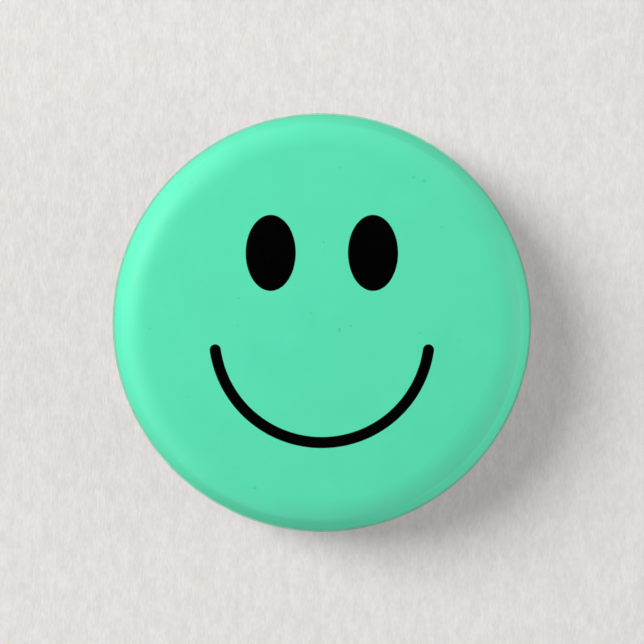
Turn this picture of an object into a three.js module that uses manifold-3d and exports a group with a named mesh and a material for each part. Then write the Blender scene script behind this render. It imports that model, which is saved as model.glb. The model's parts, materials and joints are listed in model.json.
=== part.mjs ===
// A 32 mm pin-back button badge: clear film and printed paper stretched over a domed steel shell,
// closed by a stamped back plate that carries a sprung wire pin. Millimetres. The badge stands upright
// as it is worn: the face looks along -Y, the pin is on the +Y side and up is +Z. The origin is the
// centre of the rear rim, in the plane where the badge lies against cloth.

import * as THREE from 'three';
import { mergeVertices } from 'three/addons/utils/BufferGeometryUtils.js';
import Module from 'manifold-3d';

const wasm = await Module();
wasm.setup();

// Badge body
const BADGE_RADIUS = 16;
const BODY_DEPTH = 4.7; // from the rear rim to the middle of the face
const CROWN_RADIUS = 130; // the face is a very shallow dome
const SHOULDER_RADIUS = 3.2;
const RIM_RADIUS = 0.75; // the roll from the side to the rear
const MOUTH_RADIUS = 14.8; // the shell's raw edge, which the paper and film fold round
const HEM_LENGTH = 0.25; // how far the fold runs back inside the shell

// Sheet thicknesses, from the outside in
const FILM_SHEET = 0.1;
const PAPER_SHEET = 0.12;
const SHELL_SHEET = 0.25;
const SKIN_GAP = 0.03;
const PAPER_DEPTH = FILM_SHEET + SKIN_GAP; // below the badge's outer surface
const SHELL_DEPTH = PAPER_DEPTH + PAPER_SHEET + SKIN_GAP;
const FOLD_RADIUS = SHELL_DEPTH + SHELL_SHEET / 2; // film and paper turn round the shell's edge

// Back plate, by the height of its rear face
const PLATE_SHEET = 0.3;
const FLOOR_Y = -0.9;
const FLOOR_RADIUS = 11.5;
const LAND_Y = -0.1; // a raised ring round the floor
const LAND_INNER_RADIUS = 12.3;
const LAND_OUTER_RADIUS = 13.6;
const WALL_HEIGHT = 0.5;
const FLANGE_RADIUS = 15.3; // the flange is trapped in front of the fold
const PLATE_GAP = 0.06;

// Wire pin: an anchor leg on the plate, a coil and a needle that swings out
const WIRE_RADIUS = 0.35;
const WIRE_GAP = 0.03; // between the anchor leg and the floor
const CUT_GAP = 0.1; // between the wire's three lengths
const COIL_RADIUS = 1.15; // to the middle of the wire
const COIL_TURNS = 1.5;
const COIL_PITCH = 0.75;
const COIL_X = -10;
const NEEDLE_Z = 0.6;
const NEEDLE_LENGTH = 20.1;
const TAPER_LENGTH = 5.5;
const TAPER_MIDDLE = 3.5; // along the taper
const TAPER_MIDDLE_RADIUS = 0.24;
const TIP_LENGTH = 0.1;
const TIP_RADIUS = 0.05;
const OPENING_TILT = THREE.MathUtils.degToRad(40); // of the needle's path, out of the plate
const LEG_END_X = 6.6;
const LEG_BEND = 0.6;
const LEG_TAIL_Y = -1.8; // the bent end reaches through the plate

// Straps and catch, cut and pressed out of the back plate
const STRAP_XS = [-4.6, 3.4];
const STRAP_WIDTH = 1.8;
const STRAP_SPAN = 3.2;
const STRAP_TOP = 0.9; // the flat along its crest
const STRAP_GAP = 0.05;
const CATCH_X = 9.3;
const CATCH_WIDTH = 1.8;
const CATCH_RADIUS = 0.92; // outside of its hook, about the needle
const CATCH_WRAP = 100; // degrees of hook over the needle
const FOOT_LENGTH = 0.6; // how far each strip's root laps the floor
const SHEAR_GAP = 0.1; // beside each pressed-out strip
const CUT_DEPTH = 4 * PLATE_SHEET; // of the tools that cut the plate, which go well past both faces
const LEG_HOLE_RADIUS = 0.5;

// Fineness
const LATHE_SEGMENTS = 48;
const CROWN_STEPS = 3;
const SHOULDER_STEPS = 5;
const RIM_STEPS = 3;
const FOLD_STEPS = 4;
const CATCH_STEPS = 7;
const WIRE_SIDES = 10;
const LEG_STEPS = 40;
const COIL_STEPS = 30;
const HOLE_SIDES = 12;
const MERGE_TOLERANCE = 1e-4; // vertices closer than this are one

// The wire's line: the needle opens along opening, turning about hinge, which is also the coil's axis.
const opening = new THREE.Vector3(0, Math.sin(OPENING_TILT), -Math.cos(OPENING_TILT));
const hinge = new THREE.Vector3(0, Math.cos(OPENING_TILT), Math.sin(OPENING_TILT));
const coilRise = COIL_TURNS * COIL_PITCH;
const coilReach = opening.clone().multiplyScalar(COIL_RADIUS).addScaledVector(hinge, coilRise / 2);
const legY = FLOOR_Y + WIRE_GAP + WIRE_RADIUS;
const pivot = new THREE.Vector3(COIL_X, legY + coilReach.y, NEEDLE_Z - coilReach.z);
const legStart = pivot.clone().sub(coilReach);
const needleRoot = pivot.clone().add(coilReach);

const materials = {
  film: new THREE.MeshStandardMaterial({
    color: 0xd9fff0, roughness: 0.15, metalness: 0, transparent: true, opacity: 0.2,
  }),
  print: new THREE.MeshStandardMaterial({ color: 0x5ad9ae, roughness: 0.6, metalness: 0 }),
  tinplate: new THREE.MeshStandardMaterial({ color: 0xc9ccd0, roughness: 0.3, metalness: 1 }),
  backSteel: new THREE.MeshStandardMaterial({ color: 0xb4b8bd, roughness: 0.38, metalness: 1 }),
  springSteel: new THREE.MeshStandardMaterial({ color: 0xd6d8da, roughness: 0.2, metalness: 1 }),
};

// Points on an arc in the (radius, y) plane, by the angle of its normal: 0 faces -Y, 90 faces out.
function arc(centreX, centreY, radius, fromDegrees, toDegrees, steps) {
  return Array.from({ length: steps + 1 }, (_, i) => {
    const angle = THREE.MathUtils.degToRad(fromDegrees + ((toDegrees - fromDegrees) * i) / steps);
    return new THREE.Vector2(centreX + radius * Math.sin(angle), centreY - radius * Math.cos(angle));
  });
}

// A copy of an open path moved sideways to its left, with mitred corners. An end on the axis stays there.
function offsetPath(path, distance) {
  const leftOf = (a, b) => new THREE.Vector2(a.y - b.y, b.x - a.x).normalize();
  return path.map((point, i) => {
    if (point.x === 0) return new THREE.Vector2(0, point.y + distance);
    const before = leftOf(path[Math.max(i - 1, 0)], path[Math.max(i, 1)]);
    const after = leftOf(path[Math.min(i, path.length - 2)], path[Math.min(i + 1, path.length - 1)]);
    const mitre = before.clone().add(after);
    return point.clone().addScaledVector(mitre, distance / (1 + before.dot(after)));
  });
}

// The closed outline of a sheet that lies between two distances to the left of a path.
function sheetOutline(path, near, far) {
  return [...offsetPath(path, near), ...offsetPath(path, far).reverse()];
}

function turned(outline, segments = LATHE_SEGMENTS) {
  return new THREE.LatheGeometry(outline, segments);
}

// The badge's outer surface, from the middle of the face to the end of the hem inside the shell.
function outerPath() {
  const shoulderR = BADGE_RADIUS - SHOULDER_RADIUS;
  const crownY = CROWN_RADIUS - BODY_DEPTH;
  const crownToShoulder = CROWN_RADIUS - SHOULDER_RADIUS;
  const crownAngle = THREE.MathUtils.radToDeg(Math.asin(shoulderR / crownToShoulder));
  const shoulderY = crownY - Math.sqrt(crownToShoulder ** 2 - shoulderR ** 2);
  const face = [
    ...arc(0, crownY, CROWN_RADIUS, 0, crownAngle, CROWN_STEPS).slice(0, -1),
    ...arc(shoulderR, shoulderY, SHOULDER_RADIUS, crownAngle, 90, SHOULDER_STEPS),
    ...arc(BADGE_RADIUS - RIM_RADIUS, -RIM_RADIUS, RIM_RADIUS, 90, 180, RIM_STEPS),
  ];
  const fold = arc(MOUTH_RADIUS, -FOLD_RADIUS, FOLD_RADIUS, 180, 360, FOLD_STEPS);
  const hem = new THREE.Vector2(MOUTH_RADIUS + HEM_LENGTH, -2 * FOLD_RADIUS);
  return { face: [...face, fold[0]], wrapped: [...face, ...fold, hem] };
}

// The stamped plate's rear face: floor, raised land, wall and flange.
function platePath() {
  const wallRadius = MOUTH_RADIUS - FOLD_RADIUS - PLATE_GAP;
  const flangeY = -2 * FOLD_RADIUS - PLATE_GAP;
  return [
    new THREE.Vector2(0, FLOOR_Y),
    new THREE.Vector2(FLOOR_RADIUS, FLOOR_Y),
    new THREE.Vector2(LAND_INNER_RADIUS, LAND_Y),
    new THREE.Vector2(LAND_OUTER_RADIUS, LAND_Y),
    new THREE.Vector2(wallRadius, LAND_Y - WALL_HEIGHT),
    new THREE.Vector2(wallRadius, flangeY),
    new THREE.Vector2(FLANGE_RADIUS, flangeY),
  ];
}

// A closed mesh as a solid for joining and cutting.
function solid(geometry) {
  const bare = geometry.clone();
  bare.deleteAttribute('normal');
  bare.deleteAttribute('uv');
  const merged = mergeVertices(bare, MERGE_TOLERANCE);
  return new wasm.Manifold(new wasm.Mesh({
    numProp: 3,
    vertProperties: new Float32Array(merged.attributes.position.array),
    triVerts: new Uint32Array(merged.index.array),
  }));
}

function geometryOf(manifold) {
  const { vertProperties, triVerts } = manifold.getMesh();
  const geometry = new THREE.BufferGeometry();
  geometry.setAttribute('position', new THREE.BufferAttribute(vertProperties, 3));
  geometry.setIndex(new THREE.BufferAttribute(triVerts, 1));
  geometry.computeVertexNormals();
  return geometry;
}

// A strip whose outline is given by (z, y) points, centred on x.
function strip(outline, x, width) {
  const shape = new THREE.Shape(outline.map((point) => new THREE.Vector2(-point.x, point.y)));
  const geometry = new THREE.ExtrudeGeometry(shape, { depth: width, bevelEnabled: false });
  return geometry.translate(0, 0, -width / 2).rotateY(Math.PI / 2).translate(x, 0, 0);
}

// A box cut through the plate's floor, from one z to another.
function floorWindow(x, width, fromZ, toZ) {
  const box = new THREE.BoxGeometry(width + 2 * SHEAR_GAP, CUT_DEPTH, toZ - fromZ);
  return box.translate(x, FLOOR_Y - PLATE_SHEET / 2, (fromZ + toZ) / 2);
}

// A bridge of the plate's own sheet, pressed up over the anchor leg.
function strap(x) {
  const half = STRAP_SPAN / 2;
  const top = legY + WIRE_RADIUS + STRAP_GAP + PLATE_SHEET;
  const path = [
    new THREE.Vector2(-half - FOOT_LENGTH, FLOOR_Y),
    new THREE.Vector2(-half, FLOOR_Y),
    new THREE.Vector2(-STRAP_TOP / 2, top),
    new THREE.Vector2(STRAP_TOP / 2, top),
    new THREE.Vector2(half, FLOOR_Y),
    new THREE.Vector2(half + FOOT_LENGTH, FLOOR_Y),
  ];
  const outline = sheetOutline(path, -PLATE_SHEET, 0);
  return {
    added: strip(outline, x, STRAP_WIDTH).translate(0, 0, legStart.z),
    cut: floorWindow(x, STRAP_WIDTH, legStart.z - half, legStart.z + half),
  };
}

// A tongue of the plate's own sheet, bent up behind the needle and hooked over it.
function needleCatch() {
  const inner = CATCH_RADIUS - PLATE_SHEET;
  const hook = arc(0, 0, CATCH_RADIUS, 90, 90 + CATCH_WRAP, CATCH_STEPS);
  const path = [
    new THREE.Vector2(needleRoot.z + CATCH_RADIUS + FOOT_LENGTH, FLOOR_Y),
    new THREE.Vector2(needleRoot.z + CATCH_RADIUS, FLOOR_Y),
    ...hook.map((point) => new THREE.Vector2(needleRoot.z + point.x, needleRoot.y + point.y)),
  ];
  const hookLength = THREE.MathUtils.degToRad(CATCH_WRAP) * CATCH_RADIUS;
  const windowTop = needleRoot.z + inner;
  return {
    added: strip(sheetOutline(path, 0, PLATE_SHEET), CATCH_X, CATCH_WIDTH),
    cut: floorWindow(
      CATCH_X,
      CATCH_WIDTH,
      windowTop - (needleRoot.y - FLOOR_Y) - hookLength,
      windowTop,
    ),
  };
}

function legHole() {
  const drill = new THREE.CylinderGeometry(LEG_HOLE_RADIUS, LEG_HOLE_RADIUS, CUT_DEPTH, HOLE_SIDES);
  return drill.translate(LEG_END_X, FLOOR_Y - PLATE_SHEET / 2, legStart.z);
}

function backPlate() {
  const stamped = turned(sheetOutline(platePath(), -PLATE_SHEET, 0));
  const pressings = [...STRAP_XS.map(strap), needleCatch()];
  let plate = solid(stamped).subtract(solid(legHole()));
  for (const { cut } of pressings) plate = plate.subtract(solid(cut));
  for (const { added } of pressings) plate = plate.add(solid(added));
  return geometryOf(plate);
}

function wireAlong(curve, steps) {
  const section = new THREE.Shape().absarc(0, 0, WIRE_RADIUS, 0, 2 * Math.PI);
  return new THREE.ExtrudeGeometry(section, {
    extrudePath: curve,
    steps,
    curveSegments: WIRE_SIDES / 2, // an arc gets two points for each
    bevelEnabled: false,
  });
}

function anchorLeg() {
  const at = (x, y) => new THREE.Vector3(x, y, legStart.z);
  const curve = new THREE.CurvePath();
  const bendStart = at(LEG_END_X - LEG_BEND, legY);
  const bendEnd = at(LEG_END_X, legY - LEG_BEND);
  curve.add(new THREE.LineCurve3(at(COIL_X + CUT_GAP, legY), bendStart));
  curve.add(new THREE.QuadraticBezierCurve3(bendStart, at(LEG_END_X, legY), bendEnd));
  curve.add(new THREE.LineCurve3(bendEnd, at(LEG_END_X, LEG_TAIL_Y)));
  return wireAlong(curve, LEG_STEPS);
}

// The coil's helix, from the anchor leg round to the needle.
class CoilCurve extends THREE.Curve {
  getPoint(t) {
    const angle = 2 * Math.PI * COIL_TURNS * t;
    return pivot.clone()
      .addScaledVector(opening, -COIL_RADIUS * Math.cos(angle))
      .addScaledVector(new THREE.Vector3(1, 0, 0), -COIL_RADIUS * Math.sin(angle))
      .addScaledVector(hinge, (t - 0.5) * coilRise);
  }
}

function needle() {
  const profile = [
    new THREE.Vector2(0, CUT_GAP),
    new THREE.Vector2(WIRE_RADIUS, CUT_GAP),
    new THREE.Vector2(WIRE_RADIUS, NEEDLE_LENGTH - TAPER_LENGTH),
    new THREE.Vector2(TAPER_MIDDLE_RADIUS, NEEDLE_LENGTH - TAPER_LENGTH + TAPER_MIDDLE),
    new THREE.Vector2(TIP_RADIUS, NEEDLE_LENGTH - TIP_LENGTH),
    new THREE.Vector2(0, NEEDLE_LENGTH),
  ];
  return turned(profile, WIRE_SIDES).rotateZ(-Math.PI / 2);
}

const badge = new THREE.Group();

function addPart(name, geometry, material, position = new THREE.Vector3()) {
  const mesh = new THREE.Mesh(geometry, material);
  mesh.name = name;
  mesh.position.copy(position);
  badge.add(mesh);
}

const { face, wrapped } = outerPath();
const skin = (path, depth, sheet) => turned(sheetOutline(path, depth, depth + sheet));

addPart('clear_film', skin(wrapped, 0, FILM_SHEET), materials.film);
addPart('printed_paper', skin(wrapped, PAPER_DEPTH, PAPER_SHEET), materials.print);
addPart('front_shell', skin(face, SHELL_DEPTH, SHELL_SHEET), materials.tinplate);
addPart('back_plate', backPlate(), materials.backSteel);
addPart('pin_anchor_leg', anchorLeg(), materials.springSteel);
addPart('pin_spring_coil', wireAlong(new CoilCurve(), COIL_STEPS), materials.springSteel);
addPart('pin_needle', needle(), materials.springSteel, needleRoot);

export default badge;
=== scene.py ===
"""A 32 mm pin-back button badge: the looks around its CAD frame.

Shapes are worked out in millimetres and stored in metres. The badge stands upright with its printed
face towards -Y and its pin towards +Y. A turned outline is a path of (radius, y) points, a pressed strip
is a path of (z, y) points, and each draws the outer face of a wrapped sheet or the rear face of the plate.
"""

import json
import math
import random

import bmesh
import bpy
from mathutils import Matrix, Vector
from mathutils.geometry import delaunay_2d_cdt


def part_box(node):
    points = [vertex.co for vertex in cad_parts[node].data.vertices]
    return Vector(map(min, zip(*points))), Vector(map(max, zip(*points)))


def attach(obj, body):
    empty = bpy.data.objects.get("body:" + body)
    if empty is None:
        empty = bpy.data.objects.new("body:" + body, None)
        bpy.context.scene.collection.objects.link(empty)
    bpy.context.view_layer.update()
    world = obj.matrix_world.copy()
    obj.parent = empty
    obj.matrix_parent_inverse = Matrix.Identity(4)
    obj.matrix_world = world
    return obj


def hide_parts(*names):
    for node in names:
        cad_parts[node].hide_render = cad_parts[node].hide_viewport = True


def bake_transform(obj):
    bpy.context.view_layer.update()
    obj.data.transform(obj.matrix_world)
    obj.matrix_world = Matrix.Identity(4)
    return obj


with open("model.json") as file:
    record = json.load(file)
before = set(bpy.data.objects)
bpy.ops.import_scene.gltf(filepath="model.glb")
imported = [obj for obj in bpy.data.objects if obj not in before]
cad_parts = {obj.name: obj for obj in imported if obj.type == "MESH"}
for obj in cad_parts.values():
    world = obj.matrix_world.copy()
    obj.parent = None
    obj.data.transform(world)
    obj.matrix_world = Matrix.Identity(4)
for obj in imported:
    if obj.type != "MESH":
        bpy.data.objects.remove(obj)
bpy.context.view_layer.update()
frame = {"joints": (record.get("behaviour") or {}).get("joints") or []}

MM = 0.001

# --- Sizes taken from the frame ---------------------------------------------------------------------


def node_box(node):
    """A CAD node's lowest and highest corners, in millimetres."""
    low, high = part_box(node)
    return Vector(low) / MM, Vector(high) / MM


film_low, film_high = node_box("clear_film")
leg_low, leg_high = node_box("pin_anchor_leg")
needle_low, needle_high = node_box("pin_needle")
swing = frame["joints"][0]
pivot = Vector(swing["pos_m"]) / MM
hinge = Vector(swing["axis"])
opening = hinge.cross(Vector((1, 0, 0)))  # the way the needle's point sets off

BADGE_RADIUS = film_high.x
BODY_DEPTH = -film_low.y
WIRE_RADIUS = (needle_high.z - needle_low.z) / 2
LEG_Y = leg_high.y - WIRE_RADIUS
LEG_Z = (leg_low.z + leg_high.z) / 2
LEG_END_X = leg_high.x - WIRE_RADIUS
LEG_TAIL_Y = leg_low.y
NEEDLE_Y = (needle_low.y + needle_high.y) / 2
NEEDLE_Z = (needle_low.z + needle_high.z) / 2
NEEDLE_END_X = needle_high.x

# --- Sizes of the sheets, the pressings and the wire ------------------------------------------------

CROWN_RADIUS = 130
SHOULDER_RADIUS = 3.2
KNEE_TILT = 42  # where the shoulder tightens before the straight side, in degrees off the face
KNEE_RADIUS = 0.8
RIM_RADIUS = 0.75
MOUTH_RADIUS = 14.8
HEM_LENGTH = 0.25
FILM_SHEET = 0.1
PAPER_SHEET = 0.12
SHELL_SHEET = 0.25
SKIN_GAP = 0.03
PAPER_DEPTH = FILM_SHEET + SKIN_GAP
SHELL_DEPTH = PAPER_DEPTH + PAPER_SHEET + SKIN_GAP
FOLD_RADIUS = SHELL_DEPTH + SHELL_SHEET / 2
PLEAT_HEIGHT = 0.035
PLEAT_WAVES = 5
PLEAT_SEED = 32

PLATE_SHEET = 0.3
PLATE_GAP = 0.06
FLOOR_Y = -0.9
FLOOR_RADIUS = 11.5
LAND_Y = -0.1
LAND_INNER_RADIUS = 12.3
LAND_OUTER_RADIUS = 13.6
WALL_HEIGHT = 0.5
WALL_RADIUS = MOUTH_RADIUS - FOLD_RADIUS - PLATE_GAP
FLANGE_RADIUS = 15.3
FLANGE_Y = -2 * FOLD_RADIUS - PLATE_GAP
HOLLOW_BEND = 0.18  # a bend's radius on the rear face where the sheet turns towards the rear
CREST_BEND = 0.42  # and where it turns away from it
WALL_TOP_BEND = 0.31
WALL_FOOT_BEND = 0.1
SHEET_EDGE = 0.03  # rounding of cut edges
CUT_EDGE_ANGLE = 50  # degrees; a sheet's edge turns by more than this

STRAP_XS = (-4.6, 3.4)
STRAP_WIDTH = 1.8
STRAP_SPAN = 3.2
STRAP_TOP = 0.9
STRAP_CLEARANCE = 0.05  # between the anchor leg and the underside of a strap
STRAP_TOP_Y = LEG_Y + WIRE_RADIUS + STRAP_CLEARANCE + PLATE_SHEET
CATCH_X = 9.3
CATCH_WIDTH = 1.8
CATCH_RADIUS = 0.92
CATCH_WRAP = 100  # degrees of the hook's arc over the needle
CATCH_CORNER = 0.35
SHEAR_GAP = 0.1
LEG_HOLE_RADIUS = 0.5

COIL_RADIUS = 1.15
COIL_TURNS = 1.5
COIL_PITCH = 0.75
COIL_RISE = COIL_TURNS * COIL_PITCH
COIL_EASE = 60  # degrees at each end over which the coil's rise sets in
LEG_BEND = 0.6
TAIL_CHAMFER = 0.08
TAPER_LENGTH = 5.5
TAPER_POWER = 2.5

# --- The printed face, a plain happy one --------------------------------------------------------------

EYE_X = 3.81
EYE_Z = 5.19
EYE_HALF_WIDTH = 1.87
EYE_HALF_HEIGHT = 2.84
SMILE_Z = -0.92
SMILE_RADIUS = 8.02
SMILE_WIDTH = 0.84
SMILE_TURN = 82  # degrees on either side of straight down

# --- Fineness of the meshes ---------------------------------------------------------------------------

SKIN_SEGMENTS = 360
METAL_SEGMENTS = 192
EYE_SEGMENTS = 72
HOLE_SEGMENTS = 24
WIRE_SIDES = 20
COIL_STEP = 5  # degrees
TAPER_STEPS = 24
WINDOW_CORNER_STEP = 22.5  # degrees
WINDOW_SIDE_STEPS = 8
FACE_SPACING = 0.9  # of the spare points that a flat mesh is filled with
FACE_CLEARANCE = 0.2  # from those points to an outline
FLOOR_SPACING = 0.8
FLOOR_CLEARANCE = 0.3

# --- Paths ------------------------------------------------------------------------------------------


def arc(centre_x, centre_y, radius, start, stop, step=6):
    """Points on an arc, by the angle of its outward normal in degrees: 0 is -y and 90 is +x."""
    count = max(1, round(abs(stop - start) / step))
    angles = [math.radians(start + (stop - start) * i / count) for i in range(count + 1)]
    return [Vector((centre_x + radius * math.sin(a), centre_y - radius * math.cos(a))) for a in angles]


def rounded(corners, step=9):
    """A path through (x, y, bend radius) corners, with each bend drawn as an arc."""
    path = [Vector(corners[0][:2])]
    for before, (x, y, bend), after in zip(corners, corners[1:], corners[2:]):
        corner = Vector((x, y))
        into = (corner - Vector(before[:2])).normalized()
        out = (Vector(after[:2]) - corner).normalized()
        turn = math.atan2(into.cross(out), into.dot(out))
        start = corner - into * bend * math.tan(abs(turn) / 2)
        spoke = Vector((into.y, -into.x)) * math.copysign(bend, turn)
        count = max(2, round(abs(math.degrees(turn)) / step))
        for i in range(count + 1):
            path.append(start - spoke + Matrix.Rotation(turn * i / count, 2) @ spoke)
    path.append(Vector(corners[-1][:2]))
    return path


def normals_of(path):
    """Each point's left normal, made longer at a corner so that an offset path keeps its distance."""
    sides = []
    for a, b in zip(path, path[1:]):
        step = (b - a).normalized()
        sides.append(Vector((-step.y, step.x)))
    sides = [sides[0], *sides, sides[-1]]
    normals = [(a + b) / (1 + a.dot(b)) for a, b in zip(sides, sides[1:])]
    if path[0].x == 0:
        normals[0] = Vector((0, 1))
    return normals


def path_length(path):
    return sum((b - a).length for a, b in zip(path, path[1:]))


def offset(path, distance):
    return [point + normal * distance for point, normal in zip(path, normals_of(path))]


def crown_path():
    """The badge's outer surface from the middle of the face to the edge of its flat dome."""
    reach = CROWN_RADIUS - SHOULDER_RADIUS
    edge = math.degrees(math.asin((BADGE_RADIUS - SHOULDER_RADIUS) / reach))
    return arc(0, CROWN_RADIUS - BODY_DEPTH, CROWN_RADIUS, 0, edge, step=0.5)


def side_and_rim_paths():
    """From the dome's edge over the shoulder and its knee to the side, and the rim's roll after it."""
    shoulder_x = BADGE_RADIUS - SHOULDER_RADIUS
    reach = CROWN_RADIUS - SHOULDER_RADIUS
    shoulder_y = CROWN_RADIUS - BODY_DEPTH - math.sqrt(reach**2 - shoulder_x**2)
    edge = math.degrees(math.asin(shoulder_x / reach))
    tilt = math.radians(KNEE_TILT)
    knee = Vector((shoulder_x, shoulder_y))
    knee += Vector((math.sin(tilt), -math.cos(tilt))) * (SHOULDER_RADIUS - KNEE_RADIUS)
    rim = Vector((BADGE_RADIUS - RIM_RADIUS, -RIM_RADIUS))
    apart = rim - knee
    lean = math.asin((KNEE_RADIUS - RIM_RADIUS) / apart.length)
    side_tilt = math.degrees(math.atan2(apart.y, apart.x) + lean)
    side = [
        *arc(shoulder_x, shoulder_y, SHOULDER_RADIUS, edge, KNEE_TILT, step=3),
        *arc(knee.x, knee.y, KNEE_RADIUS, KNEE_TILT, side_tilt, step=3)[1:],
    ]
    return side, arc(rim.x, rim.y, RIM_RADIUS, side_tilt, 180, step=8)


def fold_path():
    """Round the shell's raw edge and back inside it."""
    fold = arc(MOUTH_RADIUS, -FOLD_RADIUS, FOLD_RADIUS, 180, 360, step=12)
    return [*fold, Vector((MOUTH_RADIUS + HEM_LENGTH, -2 * FOLD_RADIUS))]


# --- Mesh building ------------------------------------------------------------------------------------


def ring(bm, radius, y, segments, shift=None):
    """A ring of vertices about the badge's axis; shift(angle) moves each one by (radius, y)."""
    vertices = []
    for i in range(segments):
        angle = 2 * math.pi * i / segments
        move = shift(angle) if shift else Vector((0, 0))
        r = radius + move.x
        vertices.append(bm.verts.new((r * math.sin(angle), y + move.y, r * math.cos(angle))))
    return vertices


def join_rings(bm, rings, loop=True):
    """Faces between neighbouring rows of vertices, all of one length."""
    for near, far in zip(rings, rings[1:]):
        last = len(near) if loop else len(near) - 1
        for i in range(last):
            j = (i + 1) % len(near)
            bm.faces.new((near[i], near[j], far[j], far[i]))


def cap(bm, vertices, centre):
    """A fan of triangles from a new vertex at the centre of a ring."""
    middle = bm.verts.new(centre)
    for i, vertex in enumerate(vertices):
        bm.faces.new((middle, vertex, vertices[(i + 1) % len(vertices)]))


def turn(bm, path, segments, lift=None):
    """Rings for a (radius, y) path. lift(i, angle) raises point i off the outer face, to its right."""
    rings = []
    for i, (point, normal) in enumerate(zip(path, normals_of(path))):
        shift = (lambda angle, i=i, normal=normal: -normal * lift(i, angle)) if lift else None
        rings.append(ring(bm, point.x, point.y, segments, shift))
    return rings


def smooth_object(name, bm, *materials, sharp=40):
    """A closed bmesh in millimetres as an object in metres, smooth but for its sharp edges."""
    bmesh.ops.recalc_face_normals(bm, faces=bm.faces)
    bmesh.ops.scale(bm, vec=(MM, MM, MM), verts=bm.verts)
    mesh = bpy.data.meshes.new(name)
    bm.to_mesh(mesh)
    bm.free()
    for material in materials:
        mesh.materials.append(material)
    mesh.shade_smooth()
    mesh.set_sharp_from_angle(angle=math.radians(sharp))
    obj = bpy.data.objects.new(name, mesh)
    bpy.context.scene.collection.objects.link(obj)
    return obj


def flat_mesh(outlines, spare):
    """Triangles over the plane whose edges follow closed outlines: (points, triangles)."""
    points = []
    edges = []
    for outline in outlines:
        first = len(points)
        points += outline
        edges += [(first + i, first + (i + 1) % len(outline)) for i in range(len(outline))]
    points += spare
    found = delaunay_2d_cdt(points, edges, [], 0, 1e-6)
    return found[0], found[2]


def centre_of(points, triangle):
    return sum((points[i] for i in triangle), Vector((0, 0))) / 3


def spare_points(radius, spacing, outlines, clearance):
    """Points on rings inside a radius, clear of the outlines."""
    fixed = [point for outline in outlines for point in outline]
    points = [Vector((0, 0))]
    steps = math.ceil(radius / spacing)
    for k in range(1, steps):
        r = radius * k / steps
        count = max(6, round(2 * math.pi * r / spacing))
        angles = [2 * math.pi * (i + 0.5 * (k % 2)) / count for i in range(count)]
        points += [Vector((r * math.sin(a), r * math.cos(a))) for a in angles]
    return [p for p in points if all((p - q).length > clearance for q in fixed)]


def circle(centre, radius, count):
    angles = [2 * math.pi * i / count for i in range(count)]
    return [centre + Vector((math.sin(a), math.cos(a))) * radius for a in angles]


# --- Film, paper and shell ----------------------------------------------------------------------------


def pleats():
    """Heights of the little pleats where the flat film and paper are gathered over the round rim."""
    draw = random.Random(PLEAT_SEED)
    waves = []  # as (pleats round the rim, phase, weight)
    for _ in range(PLEAT_WAVES):
        waves.append((draw.randint(34, 58), draw.uniform(0, 2 * math.pi), draw.uniform(0.5, 1)))
    full = sum(weight for _, _, weight in waves)

    def height(angle):
        total = sum(w * (0.5 + 0.5 * math.cos(n * angle + phase)) ** 2 for n, phase, w in waves)
        return PLEAT_HEIGHT * total / full

    return height


pleat_height = pleats()


def skin_paths(depth, sheet):
    """A wrapped sheet's outer and inner paths outside the dome, and each point's share of pleating."""
    side, rim = side_and_rim_paths()
    fold = fold_path()
    path = [*side, *rim, *fold]
    gather = [0] * len(side)
    for i in range(len(rim)):
        share = i / (len(rim) - 1)
        gather.append(share**3)
    gather += [1] * len(fold)
    return offset(path, depth), offset(path, depth + sheet), gather


def wrapped_sheet(bm, depth, sheet):
    """The sheet from the dome's edge to the end of its hem. Gives its rings at the dome's edge."""
    outer, inner, gather = skin_paths(depth, sheet)

    def lift(i, angle):
        return gather[i] * pleat_height(angle)

    outside = turn(bm, outer, SKIN_SEGMENTS, lift)
    inside = turn(bm, inner, SKIN_SEGMENTS, lift)
    join_rings(bm, outside)
    join_rings(bm, inside)
    join_rings(bm, [outside[-1], inside[-1]])
    return outside[0], inside[0]


def dome(bm, depth, edge):
    """Rings from the middle of the face to a ring already made at the dome's edge."""
    path = offset(crown_path(), depth)
    rings = [ring(bm, point.x, point.y, len(edge)) for point in path[1:-1]]
    join_rings(bm, [*rings, edge])
    cap(bm, rings[0], (0, path[0].y, 0))


def make_film(material):
    bm = bmesh.new()
    outer_edge, inner_edge = wrapped_sheet(bm, 0, FILM_SHEET)
    dome(bm, 0, outer_edge)
    dome(bm, FILM_SHEET, inner_edge)
    return smooth_object("clear_film_skin", bm, material)


def eye_outline(side):
    centre = Vector((side * EYE_X, EYE_Z))
    return [
        centre + Vector((p.x * EYE_HALF_WIDTH, p.y * EYE_HALF_HEIGHT))
        for p in circle(Vector((0, 0)), 1, EYE_SEGMENTS)
    ]


def smile_end(side):
    angle = math.radians(SMILE_TURN)
    return Vector((side * SMILE_RADIUS * math.sin(angle), SMILE_Z - SMILE_RADIUS * math.cos(angle)))


def smile_outline():
    """A band of even width along an arc, with round ends."""
    half = SMILE_WIDTH / 2
    right, left = smile_end(1), smile_end(-1)
    return [
        *arc(0, SMILE_Z, SMILE_RADIUS + half, -SMILE_TURN, SMILE_TURN, step=2),
        *arc(right.x, right.y, half, SMILE_TURN, SMILE_TURN + 180, step=12)[1:-1],
        *arc(0, SMILE_Z, SMILE_RADIUS - half, SMILE_TURN, -SMILE_TURN, step=2),
        *arc(left.x, left.y, half, -SMILE_TURN - 180, -SMILE_TURN, step=12)[1:-1],
    ]


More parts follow.
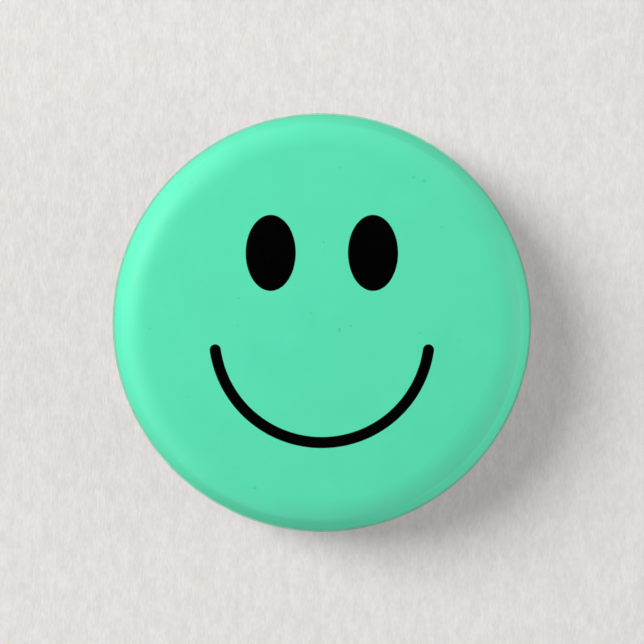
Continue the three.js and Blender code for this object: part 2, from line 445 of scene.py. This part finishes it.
def is_inked(point):
    for side in (-1, 1):
        across = (point.x - side * EYE_X) / EYE_HALF_WIDTH
        up = (point.y - EYE_Z) / EYE_HALF_HEIGHT
        if across**2 + up**2 < 1:
            return True
        if (point - smile_end(side)).length < SMILE_WIDTH / 2:
            return True
    down = Vector((point.x, SMILE_Z - point.y))
    on_arc = abs(math.degrees(math.atan2(down.x, down.y))) < SMILE_TURN
    return on_arc and abs(down.length - SMILE_RADIUS) < SMILE_WIDTH / 2


def printed_dome(bm, depth, edge):
    """The face's outer side, cut along the printed shapes so that each has its own ink."""
    rim = [Vector((v.co.x, v.co.z)) for v in edge]
    outlines = [eye_outline(-1), eye_outline(1), smile_outline()]
    spare = spare_points(rim[0].length, FACE_SPACING, [rim, *outlines], FACE_CLEARANCE)
    points, triangles = flat_mesh([rim, *outlines], spare)
    radius = CROWN_RADIUS - depth
    vertices = list(edge)
    for x, z in points[len(edge):]:
        y = CROWN_RADIUS - BODY_DEPTH - math.sqrt(radius**2 - x**2 - z**2)
        vertices.append(bm.verts.new((x, y, z)))
    for triangle in triangles:
        face = bm.faces.new([vertices[i] for i in triangle])
        face.material_index = 1 if is_inked(centre_of(points, triangle)) else 0


def make_paper(paper, ink):
    bm = bmesh.new()
    outer_edge, inner_edge = wrapped_sheet(bm, PAPER_DEPTH, PAPER_SHEET)
    printed_dome(bm, PAPER_DEPTH, outer_edge)
    dome(bm, PAPER_DEPTH + PAPER_SHEET, inner_edge)
    return smooth_object("printed_paper_skin", bm, paper, ink)


def make_shell(material):
    bm = bmesh.new()
    side, rim = side_and_rim_paths()
    path = [*side, *rim, Vector((MOUTH_RADIUS, 0))]
    outside = turn(bm, offset(path, SHELL_DEPTH), METAL_SEGMENTS)
    inside = turn(bm, offset(path, SHELL_DEPTH + SHELL_SHEET), METAL_SEGMENTS)
    join_rings(bm, [*outside, *reversed(inside)])
    dome(bm, SHELL_DEPTH, outside[0])
    dome(bm, SHELL_DEPTH + SHELL_SHEET, inside[0])
    return smooth_object("shell_pressing", bm, material)


# --- Back plate ---------------------------------------------------------------------------------------


def plate_path():
    """The rear face outside the floor, from where its first bend starts."""
    return rounded([
        (0, FLOOR_Y, 0),
        (FLOOR_RADIUS, FLOOR_Y, HOLLOW_BEND),
        (LAND_INNER_RADIUS, LAND_Y, CREST_BEND),
        (LAND_OUTER_RADIUS, LAND_Y, CREST_BEND),
        (WALL_RADIUS, LAND_Y - WALL_HEIGHT, WALL_TOP_BEND),
        (WALL_RADIUS, FLANGE_Y, WALL_FOOT_BEND),
        (FLANGE_RADIUS, FLANGE_Y, 0),
    ])[1:]


def strap_path():
    half = STRAP_SPAN / 2
    beyond = half + 1
    path = rounded([
        (-beyond, FLOOR_Y, 0),
        (-half, FLOOR_Y, HOLLOW_BEND),
        (-STRAP_TOP / 2, STRAP_TOP_Y, CREST_BEND),
        (STRAP_TOP / 2, STRAP_TOP_Y, CREST_BEND),
        (half, FLOOR_Y, HOLLOW_BEND),
        (beyond, FLOOR_Y, 0),
    ])[1:-1]
    return [Vector((LEG_Z + z, y)) for z, y in path]


def catch_path():
    """Up beside the needle and over it, from the floor to the hook's free end."""
    z = NEEDLE_Z + CATCH_RADIUS
    root = rounded([(z + 1, FLOOR_Y, 0), (z, FLOOR_Y, HOLLOW_BEND), (z, NEEDLE_Y, 0)])[1:-1]
    return [*root, *arc(NEEDLE_Z, NEEDLE_Y, CATCH_RADIUS, 90, 90 + CATCH_WRAP, step=8)]


def window_outline(x, width, low, high):
    """A pressing's window in the floor: round corners as wide as the shear gap, and even steps between."""
    half = width / 2
    steps = [-half, -half / 2, 0, half / 2, half]
    straight = high - low - 2 * SHEAR_GAP
    sides = [low + SHEAR_GAP + straight * i / WINDOW_SIDE_STEPS for i in range(1, WINDOW_SIDE_STEPS)]

    def corner(across, end, start, stop):
        inwards = SHEAR_GAP if end == low else -SHEAR_GAP
        bend = arc(across, inwards, SHEAR_GAP, start, stop, WINDOW_CORNER_STEP)
        return [Vector((x + p.x, end + p.y)) for p in bend]

    return [
        *(Vector((x + step, high)) for step in steps),
        *corner(half, high, 180, 90)[1:],
        *(Vector((x + half + SHEAR_GAP, z)) for z in reversed(sides)),
        *corner(half, low, 90, 0),
        *(Vector((x - step, low)) for step in steps[1:]),
        *corner(-half, low, 0, -90)[1:],
        *(Vector((x - half - SHEAR_GAP, z)) for z in sides),
        *corner(-half, high, -90, -180)[:-1],
    ]


def in_window(point, x, width, low, high):
    """True inside a window's outline, with its round corners."""
    half = width / 2 + SHEAR_GAP
    if abs(point.x - x) > half or not low < point.y < high:
        return False
    corner = Vector((half - abs(point.x - x), min(point.y - low, high - point.y)))
    if corner.x > SHEAR_GAP or corner.y > SHEAR_GAP:
        return True
    return (corner - Vector((SHEAR_GAP, SHEAR_GAP))).length < SHEAR_GAP


def add_strip(bm, x, width, path, corner=0):
    """A pressed-out strip on a (z, y) path, five vertices wide, with an optional round free end."""
    rows = []
    for i, (z, y) in enumerate(path):
        left = path_length(path[i:])
        half = width / 2
        if left < corner:
            half += math.sqrt(corner**2 - (corner - left) ** 2) - corner
        rows.append([bm.verts.new((x + half * step, y, z)) for step in (-1, -0.5, 0, 0.5, 1)])
    join_rings(bm, rows, loop=False)


def smooth_sheet(name, bm, material):
    """Gives an open surface the plate's thickness behind it and rounds its cut edges."""
    mesh = bpy.data.meshes.new(name)
    bm.to_mesh(mesh)
    bm.free()
    obj = bpy.data.objects.new(name, mesh)
    bpy.context.scene.collection.objects.link(obj)
    thick = obj.modifiers.new("thickness", "SOLIDIFY")
    thick.thickness = PLATE_SHEET
    thick.offset = -1
    thick.use_even_offset = True
    thick.use_quality_normals = True
    edges = obj.modifiers.new("cut edges", "BEVEL")
    edges.width = SHEET_EDGE
    edges.segments = 2
    edges.limit_method = "ANGLE"
    edges.angle_limit = math.radians(CUT_EDGE_ANGLE)
    solid = bmesh.new()
    solid.from_object(obj, bpy.context.evaluated_depsgraph_get())
    bpy.data.objects.remove(obj)
    bpy.data.meshes.remove(mesh)
    return smooth_object(name, solid, material)


def floor_windows(straps, catch):
    """Where each strip was pressed out of the floor, as (x, width, low, high)."""
    windows = [(x, width, path[0].x, path[-1].x) for x, width, path, _ in straps]
    x, width, path, _ = catch
    windows.append((x, width, path[0].x - path_length(path), path[0].x))
    return windows


def plate_floor(bm, edge, windows):
    """The flat floor inside a ring of vertices, open at the windows and at the hole for the wire's tail."""
    rim = [Vector((v.co.x, v.co.z)) for v in edge]
    hole_centre = Vector((LEG_END_X, LEG_Z))
    outlines = [window_outline(*window) for window in windows]
    outlines.append(circle(hole_centre, LEG_HOLE_RADIUS, HOLE_SEGMENTS))
    radius = rim[0].y  # the ring's first vertex is straight above the axis
    spare = spare_points(radius, FLOOR_SPACING, [rim, *outlines], FLOOR_CLEARANCE)
    points, triangles = flat_mesh([rim, *outlines], spare)
    vertices = [*edge, *(bm.verts.new((x, FLOOR_Y, z)) for x, z in points[len(edge):])]
    for triangle in triangles:
        centre = centre_of(points, triangle)
        in_hole = (centre - hole_centre).length < LEG_HOLE_RADIUS
        if not in_hole and not any(in_window(centre, *window) for window in windows):
            bm.faces.new([vertices[i] for i in triangle])


def weld_sheet(bm):
    """Joins the strips to the floor, drops unused points and turns every face to the rear."""
    bmesh.ops.remove_doubles(bm, verts=bm.verts, dist=SHEAR_GAP / 100)
    loose = [vertex for vertex in bm.verts if not vertex.link_faces]
    bmesh.ops.delete(bm, geom=loose, context="VERTS")
    bmesh.ops.recalc_face_normals(bm, faces=bm.faces)
    floor_face = min(bm.faces, key=lambda face: face.calc_center_median().length)
    if floor_face.normal.y < 0:
        bmesh.ops.reverse_faces(bm, faces=bm.faces)


def make_plate(material):
    """One sheet: a floor with windows, strips pressed out of them, and a turned rim."""
    bm = bmesh.new()
    straps = [(x, STRAP_WIDTH, strap_path(), 0) for x in STRAP_XS]
    catch = (CATCH_X, CATCH_WIDTH, catch_path(), CATCH_CORNER)
    rings = turn(bm, plate_path(), METAL_SEGMENTS)
    join_rings(bm, rings)
    plate_floor(bm, rings[0], floor_windows(straps, catch))
    for strip in (*straps, catch):
        add_strip(bm, *strip)
    weld_sheet(bm)
    return smooth_sheet("back_plate_pressing", bm, material)


# --- Wire pin -----------------------------------------------------------------------------------------


def coil_points():
    """The coil's centre line from the anchor leg to the needle, rising evenly but for its ends."""
    count = round(COIL_TURNS * 360 / COIL_STEP)
    full = 360 * COIL_TURNS
    points = []
    for i in range(count + 1):
        angle = full * i / count
        near_end = min(angle, full - angle)
        risen = near_end - COIL_EASE / 2 if near_end > COIL_EASE else near_end**2 / (2 * COIL_EASE)
        share = risen / (full - COIL_EASE)
        height = (share if angle < full / 2 else 1 - share) - 0.5
        turned = math.radians(angle)
        points.append(
            pivot
            - opening * COIL_RADIUS * math.cos(turned)
            - Vector((COIL_RADIUS * math.sin(turned), 0, 0))
            + hinge * COIL_RISE * height
        )
    return points


def wire_stations():
    """The wire's centre line from its tail to its point, as (place, radius) pairs."""
    stations = [
        (Vector((LEG_END_X, LEG_TAIL_Y, LEG_Z)), WIRE_RADIUS - TAIL_CHAMFER),
        (Vector((LEG_END_X, LEG_TAIL_Y + TAIL_CHAMFER, LEG_Z)), WIRE_RADIUS),
    ]
    for p in arc(LEG_END_X - LEG_BEND, LEG_Y - LEG_BEND, LEG_BEND, 90, 180, step=10):
        stations.append((Vector((p.x, p.y, LEG_Z)), WIRE_RADIUS))
    coil = coil_points()
    stations += [(coil[0].lerp(stations[-1][0], share), WIRE_RADIUS) for share in (0.75, 0.5, 0.25)]
    stations += [(point, WIRE_RADIUS) for point in coil]
    taper_x = NEEDLE_END_X - TAPER_LENGTH
    stations.append((coil[-1].lerp(Vector((taper_x, NEEDLE_Y, NEEDLE_Z)), 0.5), WIRE_RADIUS))
    for i in range(TAPER_STEPS):
        share = i / TAPER_STEPS
        radius = WIRE_RADIUS * (1 - share**TAPER_POWER)
        stations.append((Vector((taper_x + TAPER_LENGTH * share, NEEDLE_Y, NEEDLE_Z)), radius))
    return stations


def make_wire(material):
    """One round wire, drawn as rings that are carried along its line without twisting."""
    bm = bmesh.new()
    stations = wire_stations()
    places = [place for place, _ in stations]
    side = Vector((0, 0, 1))
    heading = Vector((0, 1, 0))
    angles = [2 * math.pi * k / WIRE_SIDES for k in range(WIRE_SIDES)]
    rings = []
    for i, (place, radius) in enumerate(stations):
        ahead = (places[min(i + 1, len(places) - 1)] - places[max(i - 1, 0)]).normalized()
        side.rotate(heading.rotation_difference(ahead))
        heading = ahead
        other = ahead.cross(side)
        spokes = [side * math.cos(a) + other * math.sin(a) for a in angles]
        rings.append([bm.verts.new(place + spoke * radius) for spoke in spokes])
    join_rings(bm, rings)
    cap(bm, rings[0], places[0])
    cap(bm, rings[-1], (NEEDLE_END_X, NEEDLE_Y, NEEDLE_Z))
    return smooth_object("pin_wire", bm, material)


# --- Materials ----------------------------------------------------------------------------------------


class Shader:
    """A material's nodes. Sizes are given in millimetres, and place is the object's own place in metres."""

    def __init__(self, name):
        self.material = bpy.data.materials.new(name)
        self.material.use_nodes = True
        self.tree = self.material.node_tree
        self.tree.nodes.clear()
        self.place = self.put("TexCoord").outputs["Object"]

    def put(self, kind, inputs=None, **settings):
        node = self.tree.nodes.new("ShaderNode" + kind)
        for key, value in settings.items():
            setattr(node, key, value)
        for key, value in (inputs or {}).items():
            if isinstance(value, bpy.types.NodeSocket):
                self.tree.links.new(value, node.inputs[key])
            else:
                node.inputs[key].default_value = value
        return node

    def noise(self, scale, detail=3, stretch=(1, 1, 1)):
        """Noise of that many cells per millimetre, times stretch in each direction."""
        mapping = self.put("Mapping", {"Vector": self.place, "Scale": [s / MM for s in stretch]})
        inputs = {"Vector": mapping.outputs[0], "Scale": scale, "Detail": detail}
        return self.put("TexNoise", inputs).outputs["Fac"]

    def spread(self, value, low, high, to_low=0, to_high=1):
        """Maps low..high to to_low..to_high, without going past either."""
        ends = {"From Min": low, "From Max": high, "To Min": to_low, "To Max": to_high}
        return self.put("MapRange", {"Value": value, **ends}).outputs["Result"]

    def off_axis(self):
        """Distance from the badge's axis in millimetres."""
        across = self.put("VectorMath", {0: self.place, 1: (1 / MM, 0, 1 / MM)}, operation="MULTIPLY")
        return self.put("VectorMath", {0: across.outputs[0]}, operation="LENGTH").outputs["Value"]

    def combine(self, first, second, operation="ADD"):
        """Arithmetic on two numbers."""
        return self.put("Math", {0: first, 1: second}, operation=operation).outputs[0]

    def mix(self, share, first, second):
        """A colour between two."""
        node = self.put("Mix", {0: share, 6: first, 7: second}, data_type="RGBA")
        return node.outputs[2]

    def bump(self, height, depth):
        """Bumps as deep as that many millimetres."""
        return self.put("Bump", {"Height": height, "Distance": depth * MM}).outputs["Normal"]

    def finish(self, shader):
        self.put("OutputMaterial", {"Surface": shader.outputs[0]})
        return self.material


def film_material():
    """Clear satin film with a soft reflection, stronger at a slant. Past the print's edge, where it is seen
    edge on, it is tinted green."""
    s = Shader("clear film")
    normal = s.bump(s.noise(0.8, 2), 0.004)
    roughness = s.spread(s.noise(1.6, 4), 0.3, 0.7, 0.42, 0.48)
    gloss = s.put("BsdfGlossy", {"Roughness": roughness, "Normal": normal})
    edge_on = s.spread(s.off_axis(), BADGE_RADIUS - PAPER_DEPTH, BADGE_RADIUS - 0.8 * PAPER_DEPTH)
    clear = s.put("BsdfTransparent", {"Color": s.mix(edge_on, (1, 1, 1, 1), (0.55, 0.95, 0.79, 1))})
    facing = s.put("LayerWeight", {"Blend": 0.5, "Normal": normal}).outputs["Facing"]
    slant = s.combine(s.combine(facing, 0.1, "MULTIPLY"), 0.022, "MINIMUM")
    outside = s.combine(1.0, s.put("NewGeometry").outputs["Backfacing"], "SUBTRACT")
    share = s.combine(slant, outside, "MULTIPLY")
    return s.finish(s.put("MixShader", {0: share, 1: clear.outputs[0], 2: gloss.outputs[0]}))


def paper_material():
    """Mint print on smooth paper, with the faint mottle of the press and a few specks of dust. Painted
    shade darkens it over the outer shoulder, and more deeply where it turns in at the rim."""
    s = Shader("mint print")
    mottle = s.spread(s.noise(0.35, 5), 0.3, 0.7)
    colour = s.mix(mottle, (0.1, 0.71, 0.434, 1), (0.105, 0.735, 0.45, 1))
    speck = s.spread(s.noise(1.9, 0), 0.84, 0.87, 0, 0.25)
    colour = s.mix(speck, colour, (0.03, 0.3, 0.19, 1))
    reach = s.off_axis()
    # painted shade: the print is darkened over the outer shoulder, and more deeply at the rim where it
    # turns in
    painted_shoulder_shade = s.spread(reach, 0.92 * BADGE_RADIUS, 0.97 * BADGE_RADIUS, 0, 0.11)
    painted_rim_shade = s.spread(reach, 0.986 * BADGE_RADIUS, 0.992 * BADGE_RADIUS, 0, 0.35)
    colour = s.mix(s.combine(painted_shoulder_shade, painted_rim_shade), colour, (0.02, 0.1, 0.07, 1))
    fibres = s.noise(9, 3, (1, 1, 0.4))
    return s.finish(s.put("BsdfPrincipled", {
        "Base Color": colour,
        "Roughness": s.spread(fibres, 0.3, 0.7, 0.6, 0.72),
        "Specular IOR Level": 0.0,
        "Normal": s.bump(fibres, 0.004),
    }))


def ink_material():
    """Solid black print, a touch smoother than the paper."""
    s = Shader("black print")
    fibres = s.noise(9, 3, (1, 1, 0.4))
    return s.finish(s.put("BsdfPrincipled", {
        "Base Color": s.mix(s.noise(2, 4), (0.0004, 0.0004, 0.0005, 1), (0.0012, 0.0012, 0.0012, 1)),
        "Roughness": s.spread(fibres, 0.3, 0.7, 0.5, 0.6),
        "Specular IOR Level": 0.0,
        "Normal": s.bump(fibres, 0.003),
    }))


def sheet_metal(name, bright, dull, roughness):
    """Rolled tinplate: streaks along its rolling direction, cloudy smudges and a few fine scratches."""
    s = Shader(name)
    streaks = s.noise(1, 5, (0.25, 4, 14))
    smudge = s.spread(s.noise(0.22, 4), 0.35, 0.7)
    scratch = s.spread(s.noise(1, 2, (0.5, 9, 26)), 0.7, 0.76)
    colour = s.mix(smudge, bright, dull)
    colour = s.mix(s.spread(streaks, 0.3, 0.7, 0, 0.25), colour, dull)
    streaky = s.spread(streaks, 0.3, 0.7, roughness - 0.06, roughness + 0.06)
    height = s.combine(streaks, s.combine(scratch, 0.8, "MULTIPLY"), "SUBTRACT")
    return s.finish(s.put("BsdfPrincipled", {
        "Base Color": colour,
        "Metallic": 1.0,
        "Roughness": s.combine(streaky, s.spread(smudge, 0, 1, 0, 0.1)),
        "Normal": s.bump(height, 0.006),
    }))


def wire_material():
    """Nickel-plated spring wire with drawing lines along it and small dull patches."""
    s = Shader("nickel wire")
    lines = s.noise(1, 4, (0.3, 10, 10))
    patches = s.spread(s.noise(1.2, 4), 0.4, 0.75)
    colour = s.mix(patches, (0.71, 0.72, 0.73, 1), (0.52, 0.53, 0.55, 1))
    return s.finish(s.put("BsdfPrincipled", {
        "Base Color": colour,
        "Metallic": 1.0,
        "Roughness": s.combine(s.spread(lines, 0.3, 0.7, 0.12, 0.22), s.spread(patches, 0, 1, 0, 0.1)),
        "Normal": s.bump(lines, 0.004),
    }))


# --- The object ---------------------------------------------------------------------------------------

film = make_film(film_material())
paper = make_paper(paper_material(), ink_material())
tinplate = sheet_metal("bright tinplate", (0.66, 0.68, 0.7, 1), (0.5, 0.52, 0.55, 1), 0.22)
back_steel = sheet_metal("stamped tinplate", (0.62, 0.64, 0.67, 1), (0.44, 0.46, 0.49, 1), 0.3)
shell = make_shell(tinplate)
plate = make_plate(back_steel)
wire = make_wire(wire_material())

for piece, node, slot in (
    (film, "clear_film", "film"),
    (paper, "printed_paper", "print"),
    (shell, "front_shell", "tinplate"),
    (plate, "back_plate", "back_steel"),
):
    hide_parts(node)
    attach(piece, "badge")

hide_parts("pin_anchor_leg", "pin_spring_coil", "pin_needle")
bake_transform(wire)

# --- Stage, light and camera --------------------------------------------------------------------------

WALL_Y = 3  # just behind the catch
SWEEP_RADIUS = 30
FLOOR_Z = -60
REAR_FLOOR_DROP = 0.2  # keeps the rear floor under the sweep where they meet
STAGE_REACH = 2000
BACK_OPENING_RADIUS = 0.96 * BADGE_RADIUS
LIGHT_DISTANCE = 800
VIEW_WIDTH = 49.25  # at the widest part of the badge
LENS = 100
CAMERA_X = 0.01
CAMERA_Z = 0.045


def paper_sweep_material():
    """Pale paper with a fine upright grain. From behind it is clear, so that it never hides the pin. Right
    behind the badge it is clear to all but the camera, so that light and reflections reach the back."""
    s = Shader("pale paper")
    grain = s.combine(s.noise(1, 2, (6, 6, 2.2)), s.noise(1, 2, (2.2, 2.2, 0.9)))
    colour = s.mix(s.spread(grain, 0.7, 1.3), (0.705, 0.685, 0.66, 1), (0.807, 0.787, 0.757, 1))
    sheet = s.put("BsdfDiffuse", {"Color": colour, "Normal": s.bump(grain, 0.022)})
    clear = s.put("BsdfTransparent")
    behind_badge = s.combine(s.off_axis(), BACK_OPENING_RADIUS, "LESS_THAN")
    not_camera = s.combine(1.0, s.put("LightPath").outputs["Is Camera Ray"], "SUBTRACT")
    hidden = s.combine(behind_badge, not_camera, "MULTIPLY")
    gone = s.combine(s.put("NewGeometry").outputs["Backfacing"], hidden, "MAXIMUM")
    return s.finish(s.put("MixShader", {0: gone, 1: sheet.outputs[0], 2: clear.outputs[0]}))


def floor_material():
    s = Shader("pale floor")
    colour = s.mix(s.spread(s.noise(0.4, 4), 0.3, 0.7), (0.79, 0.765, 0.738, 1), (0.84, 0.82, 0.787, 1))
    return s.finish(s.put("BsdfDiffuse", {"Color": colour}))


def stage_piece(name, path, material):
    """A wide sheet that follows a (y, z) path, with its lit side to the left of the path."""
    bm = bmesh.new()
    rows = []
    for y, z in path:
        rows.append([bm.verts.new((x, y, z)) for x in (-STAGE_REACH, STAGE_REACH)])
    join_rings(bm, rows, loop=False)
    bmesh.ops.scale(bm, vec=(MM, MM, MM), verts=bm.verts)
    mesh = bpy.data.meshes.new(name)
    bm.to_mesh(mesh)
    bm.free()
    mesh.materials.append(material)
    mesh.shade_smooth()
    obj = bpy.data.objects.new(name, mesh)
    bpy.context.scene.collection.objects.link(obj)
    return obj


def make_stage():
    """A sweep behind and under the badge, and a floor behind it. The sweep casts no shadow on the badge's
    back, and neither of the two bounces diffuse light on to the badge."""
    bend_y = WALL_Y - SWEEP_RADIUS
    bend = arc(0, 0, SWEEP_RADIUS, 0, 90)
    curve = [Vector((bend_y + p.x, FLOOR_Z + SWEEP_RADIUS + p.y)) for p in bend]
    sweep_path = [Vector((-STAGE_REACH, FLOOR_Z)), *curve, Vector((WALL_Y, STAGE_REACH))]
    floor_path = [Vector((y, FLOOR_Z - REAR_FLOOR_DROP)) for y in (bend_y, STAGE_REACH)]
    sweep = stage_piece("sweep", sweep_path, paper_sweep_material())
    rear_floor = stage_piece("rear_floor", floor_path, floor_material())
    sweep.visible_shadow = False
    sweep.visible_diffuse = False
    rear_floor.visible_diffuse = False


def soft_disc(name, off_axis, round_face, spread, strength, behind=False):
    """A round light, seen from the badge off_axis degrees from straight ahead (or straight behind) and
    round_face degrees anticlockwise from the right. spread is its radius in degrees, and strength is the
    level of a white sheet that faces it."""
    data = bpy.data.lights.new(name, "AREA")
    data.shape = "DISK"
    data.size = 2 * LIGHT_DISTANCE * math.tan(math.radians(spread)) * MM
    data.energy = strength * (math.pi * LIGHT_DISTANCE * MM) ** 2
    light = bpy.data.objects.new(name, data)
    bpy.context.scene.collection.objects.link(light)
    out, turned = math.radians(off_axis), math.radians(round_face)
    ahead = math.cos(out) if behind else -math.cos(out)
    towards = Vector((math.sin(out) * math.cos(turned), ahead, math.sin(out) * math.sin(turned)))
    light.location = towards * LIGHT_DISTANCE * MM
    light.rotation_euler = towards.to_track_quat("Z", "Y").to_euler()
    light.visible_camera = False


def make_world(ahead, side, behind, shown):
    """Soft light with its own level ahead of the face, to its sides and behind it, and one plain level
    that only the camera sees."""
    world = bpy.data.worlds.new("studio")
    world.use_nodes = True
    nodes, links = world.node_tree.nodes, world.node_tree.links
    direction = nodes.new("ShaderNodeTexCoord")
    split = nodes.new("ShaderNodeSeparateXYZ")
    links.new(direction.outputs["Generated"], split.inputs[0])
    backwards = nodes.new("ShaderNodeMapRange")  # 0 straight ahead of the face, 1 straight behind it
    backwards.inputs["From Min"].default_value = -1
    links.new(split.outputs["Y"], backwards.inputs["Value"])
    ramp = nodes.new("ShaderNodeValToRGB")
    links.new(backwards.outputs["Result"], ramp.inputs[0])
    ramp.color_ramp.interpolation = "EASE"
    stops = ((0.04, ahead), (0.25, side), (0.52, side), (0.75, behind))
    elements = ramp.color_ramp.elements
    for position, _ in stops[1:-1]:
        elements.new(position)
    for element, (position, level) in zip(elements, stops):
        element.position = position
        element.color = (level, level, level, 1)
    light = nodes["Background"]
    links.new(ramp.outputs["Color"], light.inputs["Color"])
    plain = nodes.new("ShaderNodeBackground")
    plain.inputs["Color"].default_value = (1, 0.985, 0.965, 1)
    plain.inputs["Strength"].default_value = shown
    rays = nodes.new("ShaderNodeLightPath")
    choice = nodes.new("ShaderNodeMixShader")
    links.new(rays.outputs["Is Camera Ray"], choice.inputs[0])
    links.new(light.outputs[0], choice.inputs[1])
    links.new(plain.outputs[0], choice.inputs[2])
    links.new(choice.outputs[0], nodes["World Output"].inputs[0])
    bpy.context.scene.world = world


def make_camera():
    """Looks straight at the face, with the badge across two thirds of the view."""
    data = bpy.data.cameras.new("camera")
    data.lens = LENS
    data.clip_start = 10 * MM
    distance = VIEW_WIDTH * LENS / data.sensor_width
    camera = bpy.data.objects.new("camera", data)
    bpy.context.scene.collection.objects.link(camera)
    camera.location = Vector((CAMERA_X, -RIM_RADIUS - distance, CAMERA_Z)) * MM
    camera.rotation_euler = (math.radians(90), 0, 0)
    bpy.context.scene.camera = camera


make_stage()
for piece in (film, paper, shell, plate, wire):
    piece.visible_diffuse = False  # keeps the print's colour off the sweep, and the sweep bright beside it
make_world(ahead=0.0, side=0.89, behind=0.6, shown=0.75)
soft_disc("key", off_axis=53, round_face=155, spread=16, strength=0.915)
soft_disc("low_fill", off_axis=87, round_face=-5, spread=20, strength=0.25)
soft_disc("side_fill", off_axis=76, round_face=2, spread=20, strength=0.14)
soft_disc("rear", off_axis=25, round_face=140, spread=12, strength=0.4, behind=True)
make_camera()
bpy.context.scene.view_settings.view_transform = "Standard"
